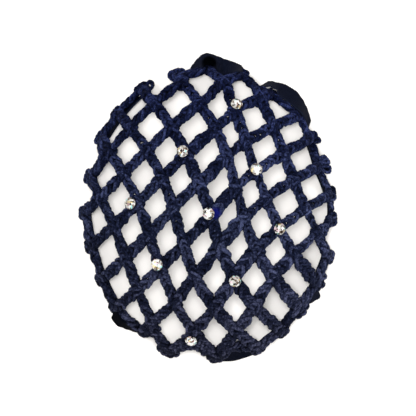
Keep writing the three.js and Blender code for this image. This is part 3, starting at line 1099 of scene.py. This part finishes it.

# %% [markdown]
# ### Navy yarn
# The yarn is a matt, slightly felted cotton or acrylic in navy, of two plies. Its color is mottled:
# noise of about a millimetre sets the tone, and a value drawn for each stitch shifts it a little, so
# that neighbouring stitches part. The yarn is bluer and darker at the far end and paler on the
# right, which two slow ramps over the object give. A node that feels how closed in a place is paints
# shade into the creases between stitches and a little painted light on the open tops. Beside the
# middle stone the photo shows a patch of bright blue, most likely light thrown on the yarn, and a
# soft round spot reproduces it.

# %% Color of the yarn
BLUE_SPOT_PIXEL = (215.5, 213.0)
BLUE_SPOT_LIFT = 1.5
BLUE_SPOT = (dome_point(at_pixel(*BLUE_SPOT_PIXEL)) + UP * BLUE_SPOT_LIFT + PLAN_CENTRE) * MM
YARN_TONES = [
    (0.34, (0.0012, 0.0022, 0.009, 1.0)),
    (0.5, (0.0078, 0.0106, 0.031, 1.0)),
    (0.68, (0.044, 0.054, 0.126, 1.0)),
]
TONES_ALONG = [
    (0.0, (1.2, 1.03, 0.78, 1.0)),
    (0.45, (1.05, 1.06, 1.0, 1.0)),
    (0.85, (0.55, 0.64, 0.92, 1.0)),
]
TONES_ACROSS = [
    (0.0, (0.92, 0.92, 0.92, 1.0)),
    (0.55, (0.95, 0.95, 0.95, 1.0)),
    (0.85, (1.3, 1.3, 1.3, 1.0)),
]
PAINTED_CREASE_SHADE_SAMPLES = 6
PAINTED_CREASE_SHADE_REACH = 0.0018
PAINTED_CREASE_SHADE_TONES = [
    (0.3, (0.12, 0.12, 0.16, 1.0)),
    (0.8, (0.9, 0.9, 0.92, 1.0)),
    (1.0, (1.4, 1.38, 1.3, 1.0)),
]
MOTTLES_A_METRE = 1150.0
STITCH_SHARE = 0.22
NEAR_TO_FAR = (-0.062, 0.062)
LEFT_TO_RIGHT = (-0.05, 0.05)
SPOT_RADII = (0.0012, 0.0028)
SPOT_STRENGTHS = (0.85, 0.0)
SPOT_COLOR = (0.004, 0.005, 0.13, 1.0)


def yarn_color(tree, place, mottle):
    """Mottled navy that differs from stitch to stitch and over the cover, with painted shade in
    creases.
    """
    shades = {"Factor": STITCH_SHARE, "A": mottle, "B": attribute(tree, "shade")}
    both = add_node(tree, "ShaderNodeMix", shades)
    tone = color_ramp(tree, both.outputs["Result"], YARN_TONES)
    axes = add_node(tree, "ShaderNodeSeparateXYZ", {"Vector": place}).outputs
    along = color_ramp(tree, map_range(tree, axes["Y"], NEAR_TO_FAR), TONES_ALONG)
    across = color_ramp(tree, map_range(tree, axes["X"], LEFT_TO_RIGHT), TONES_ACROSS)
    toned = multiply(tree, multiply(tree, tone, along), across)

    # Painted shade: an occlusion node darkens the creases between stitches, and its ramp lightens the
    # open tops.
    creases = add_node(tree, "ShaderNodeAmbientOcclusion", {"Distance": PAINTED_CREASE_SHADE_REACH})
    creases.samples = PAINTED_CREASE_SHADE_SAMPLES
    deep = multiply(tree, toned, color_ramp(tree, creases.outputs["AO"], PAINTED_CREASE_SHADE_TONES))

    reach = tree.nodes.new("ShaderNodeVectorMath")
    reach.operation = "DISTANCE"
    reach.inputs[1].default_value = BLUE_SPOT
    tree.links.new(place, reach.inputs[0])
    spot = map_range(tree, reach.outputs["Value"], SPOT_RADII, SPOT_STRENGTHS)
    return mix_colors(tree, spot, deep, SPOT_COLOR)


print("blue spot in mm:", [round(value / MM, 1) for value in BLUE_SPOT])

# %% [markdown]
# The surface of the yarn comes next. Its two plies are a wave laid askew on the yarn's own
# coordinates and used as a small bump, and the noise that mottles the color also crumples the
# surface. The yarn has next to no gloss, only a faint bluish sheen from its fibers.

# %% Relief of the yarn and its shader
PLY_TURN = (0.0, 0.0, 0.6)
PLY_SCALE = (14.0, 2.0, 1.0)


def yarn_relief(tree, mottle):
    """The bump of the two plies, crumpled by the mottle."""
    twist = {"Vector": uv_layer(tree, "yarn"), "Rotation": PLY_TURN, "Scale": PLY_SCALE}
    along = add_node(tree, "ShaderNodeMapping", twist).outputs["Vector"]
    plies = add_node(tree, "ShaderNodeTexWave", {"Vector": along, "Scale": 0.5}).outputs["Fac"]
    ply_bump = {"Height": plies, "Strength": 0.8, "Distance": 0.0003}
    twisted = add_node(tree, "ShaderNodeBump", ply_bump).outputs["Normal"]
    crumple = {"Height": mottle, "Strength": 0.9, "Distance": 0.0007, "Normal": twisted}
    return add_node(tree, "ShaderNodeBump", crumple).outputs["Normal"]


def make_yarn():
    """Navy yarn of two plies, mottled and a little different in each stitch."""
    material, tree, shader = new_material("navy_yarn")
    shader.inputs["Roughness"].default_value = 0.75
    shader.inputs["Specular IOR Level"].default_value = 0.02
    shader.inputs["Sheen Weight"].default_value = 0.015
    shader.inputs["Sheen Roughness"].default_value = 0.4
    shader.inputs["Sheen Tint"].default_value = (0.45, 0.55, 0.9, 1.0)

    place = tree.nodes.new("ShaderNodeTexCoord").outputs["Object"]
    grain = {"Vector": place, "Scale": MOTTLES_A_METRE, "Detail": 3.0, "Roughness": 0.7}
    mottle = add_node(tree, "ShaderNodeTexNoise", grain).outputs["Fac"]
    color = yarn_color(tree, place, mottle)
    connect(tree, shader, {"Base Color": color, "Normal": yarn_relief(tree, mottle)})
    return material


yarn = make_yarn()
for piece in (left_chains, right_chains, rim_chains, knots):
    piece.data.materials.append(yarn)
print("yarn:", len(yarn.node_tree.nodes), "nodes on", len(YARN_TONES), "tones")

# %% [markdown]
# ### Navy satin
# The ribbon is woven satin: smooth, with very fine threads and a firm edge on both sides. Noise
# stretched across the strip makes the threads, a ramp over the strip's width makes the two paler
# edges, and the attribute written with the strip darkens the hollows, where a bent ribbon hides
# from the light. The gloss is kept very low and fades out in the hollows, because the steep strip is
# seen at a low angle, where any gloss would turn it gray.

# %% Navy satin
SATIN_TONES = [
    (0.3, (0.0018, 0.0026, 0.0075, 1.0)),
    (0.72, (0.0055, 0.0073, 0.0165, 1.0)),
]
SATIN_EDGE = (0.008, 0.0105, 0.021, 1.0)
SATIN_EDGE_PLACES = [
    (0.0, (1.0, 1.0, 1.0, 1.0)),
    (0.07, (0.0, 0.0, 0.0, 1.0)),
    (0.93, (0.0, 0.0, 0.0, 1.0)),
    (1.0, (1.0, 1.0, 1.0, 1.0)),
]
SATIN_DARK = (0.0004, 0.0005, 0.001, 1.0)
SATIN_GLOSS = 0.008
THREAD_SCALE = (1100.0, 5.0, 1.0)


def make_satin():
    """Dark navy satin: fine threads across the strip, paler woven edges, dark hollows."""
    material, tree, shader = new_material("navy_satin")
    shader.inputs["Roughness"].default_value = 0.5

    strip = uv_layer(tree, "strip")
    fine = add_node(tree, "ShaderNodeMapping", {"Vector": strip, "Scale": THREAD_SCALE})
    weave = {"Vector": fine.outputs["Vector"], "Scale": 1.0, "Detail": 2.0}
    threads = add_node(tree, "ShaderNodeTexNoise", weave).outputs["Fac"]
    tone = color_ramp(tree, threads, SATIN_TONES)
    across = add_node(tree, "ShaderNodeSeparateXYZ", {"Vector": strip}).outputs["Y"]
    edged = mix_colors(tree, color_ramp(tree, across, SATIN_EDGE_PLACES), tone, SATIN_EDGE)

    hollow = attribute(tree, "hollow")
    color = mix_colors(tree, hollow, edged, SATIN_DARK)
    gloss = map_range(tree, hollow, (0.0, 1.0), (SATIN_GLOSS, 0.0))
    relief = {"Height": threads, "Strength": 0.5, "Distance": 0.00005}
    normal = add_node(tree, "ShaderNodeBump", relief).outputs["Normal"]
    connect(tree, shader, {"Base Color": color, "Specular IOR Level": gloss, "Normal": normal})
    return material


satin = make_satin()
ribbon.data.materials.append(satin)
print("satin:", len(satin.node_tree.nodes), "nodes")

# %% [markdown]
# ### Cut glass
# Each stone is cut glass with a foil behind it. A camera sees in it the many small images that the
# facets throw back: white, brown and black flashes with hints of green, yellow and pink. Tracing
# that through the solid glass would need far more light paths than it is worth, so the flashes are
# painted on: angular cells of a millimetre carry the flashes, and each facet has its own tone, taken
# from the direction in which it faces. The low gloss keeps the lamp from blotting out the flat top.

# %% Cut glass
CRYSTAL_FLASHES = [
    (0.0, (0.02, 0.015, 0.012, 1.0)),
    (0.14, (0.16, 0.11, 0.085, 1.0)),
    (0.28, (0.42, 0.4, 0.37, 1.0)),
    (0.5, (0.7, 0.7, 0.68, 1.0)),
]
CRYSTAL_TINTS = [
    (0.0, (0.45, 0.95, 0.95, 1.0)),
    (0.1, (1.0, 0.85, 0.5, 1.0)),
    (0.18, (1.0, 0.75, 0.85, 1.0)),
    (0.26, (1.0, 1.0, 1.0, 1.0)),
]
FACET_TONES = [
    (0.0, (0.3, 0.27, 0.25, 1.0)),
    (0.18, (0.65, 0.63, 0.6, 1.0)),
    (0.4, (1.0, 1.0, 1.0, 1.0)),
    (0.9, (0.8, 0.85, 0.9, 1.0)),
]
CELLS_A_METRE = 1150.0
FACING_STEPS = (0.1, 0.1, 0.1)


def make_crystal():
    """Cut glass over a bright foil: small flashes of white, brown and black with hints of color."""
    material, tree, shader = new_material("foiled_glass")
    shader.inputs["Roughness"].default_value = 0.06
    shader.inputs["Specular IOR Level"].default_value = 0.12

    place = tree.nodes.new("ShaderNodeTexCoord").outputs
    grid = {"Vector": place["Object"], "Scale": CELLS_A_METRE}
    cells = add_node(tree, "ShaderNodeTexVoronoi", grid)
    cells.distance = "MANHATTAN"
    chance = {"Color": cells.outputs["Color"]}
    channels = add_node(tree, "ShaderNodeSeparateColor", chance).outputs
    flashes = color_ramp(tree, channels["Red"], CRYSTAL_FLASHES, "CONSTANT")
    tints = color_ramp(tree, channels["Green"], CRYSTAL_TINTS, "CONSTANT")
    tinted = multiply(tree, flashes, tints)

    rounded = tree.nodes.new("ShaderNodeVectorMath")
    rounded.operation = "SNAP"
    rounded.inputs[1].default_value = FACING_STEPS
    tree.links.new(place["Normal"], rounded.inputs[0])
    facing_it = {"Vector": rounded.outputs["Vector"]}
    facet = add_node(tree, "ShaderNodeTexWhiteNoise", facing_it).outputs["Value"]
    tones = color_ramp(tree, facet, FACET_TONES, "CONSTANT")
    connect(tree, shader, {"Base Color": multiply(tree, tinted, tones)})
    return material


crystal = make_crystal()
stones = [node for name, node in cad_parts.items() if name.startswith("stone")]
for stone in stones:
    for holder in stone.material_slots:
        holder.material = crystal
print("glass on", len(stones), "stones")

# %% [markdown]
# ### Floor
# The ground of the photo is plain white, so the floor has one matt color and no detail. It is a
# little warm, as the photo's ground is where it shows through the meshes.

# %% Floor color
def make_floor():
    """Matt white ground."""
    material, _, shader = new_material("white_ground")
    shader.inputs["Base Color"].default_value = (0.93, 0.902, 0.872, 1.0)
    shader.inputs["Roughness"].default_value = 0.9
    return material


floor.data.materials.append(make_floor())
print("materials:", len(bpy.data.materials))

# %% [markdown]
# ## Finish
# The stitches may stand a little proud of the plain strands. The view layer is brought up to date at
# the end.

# %% Finish
bpy.context.view_layer.update()
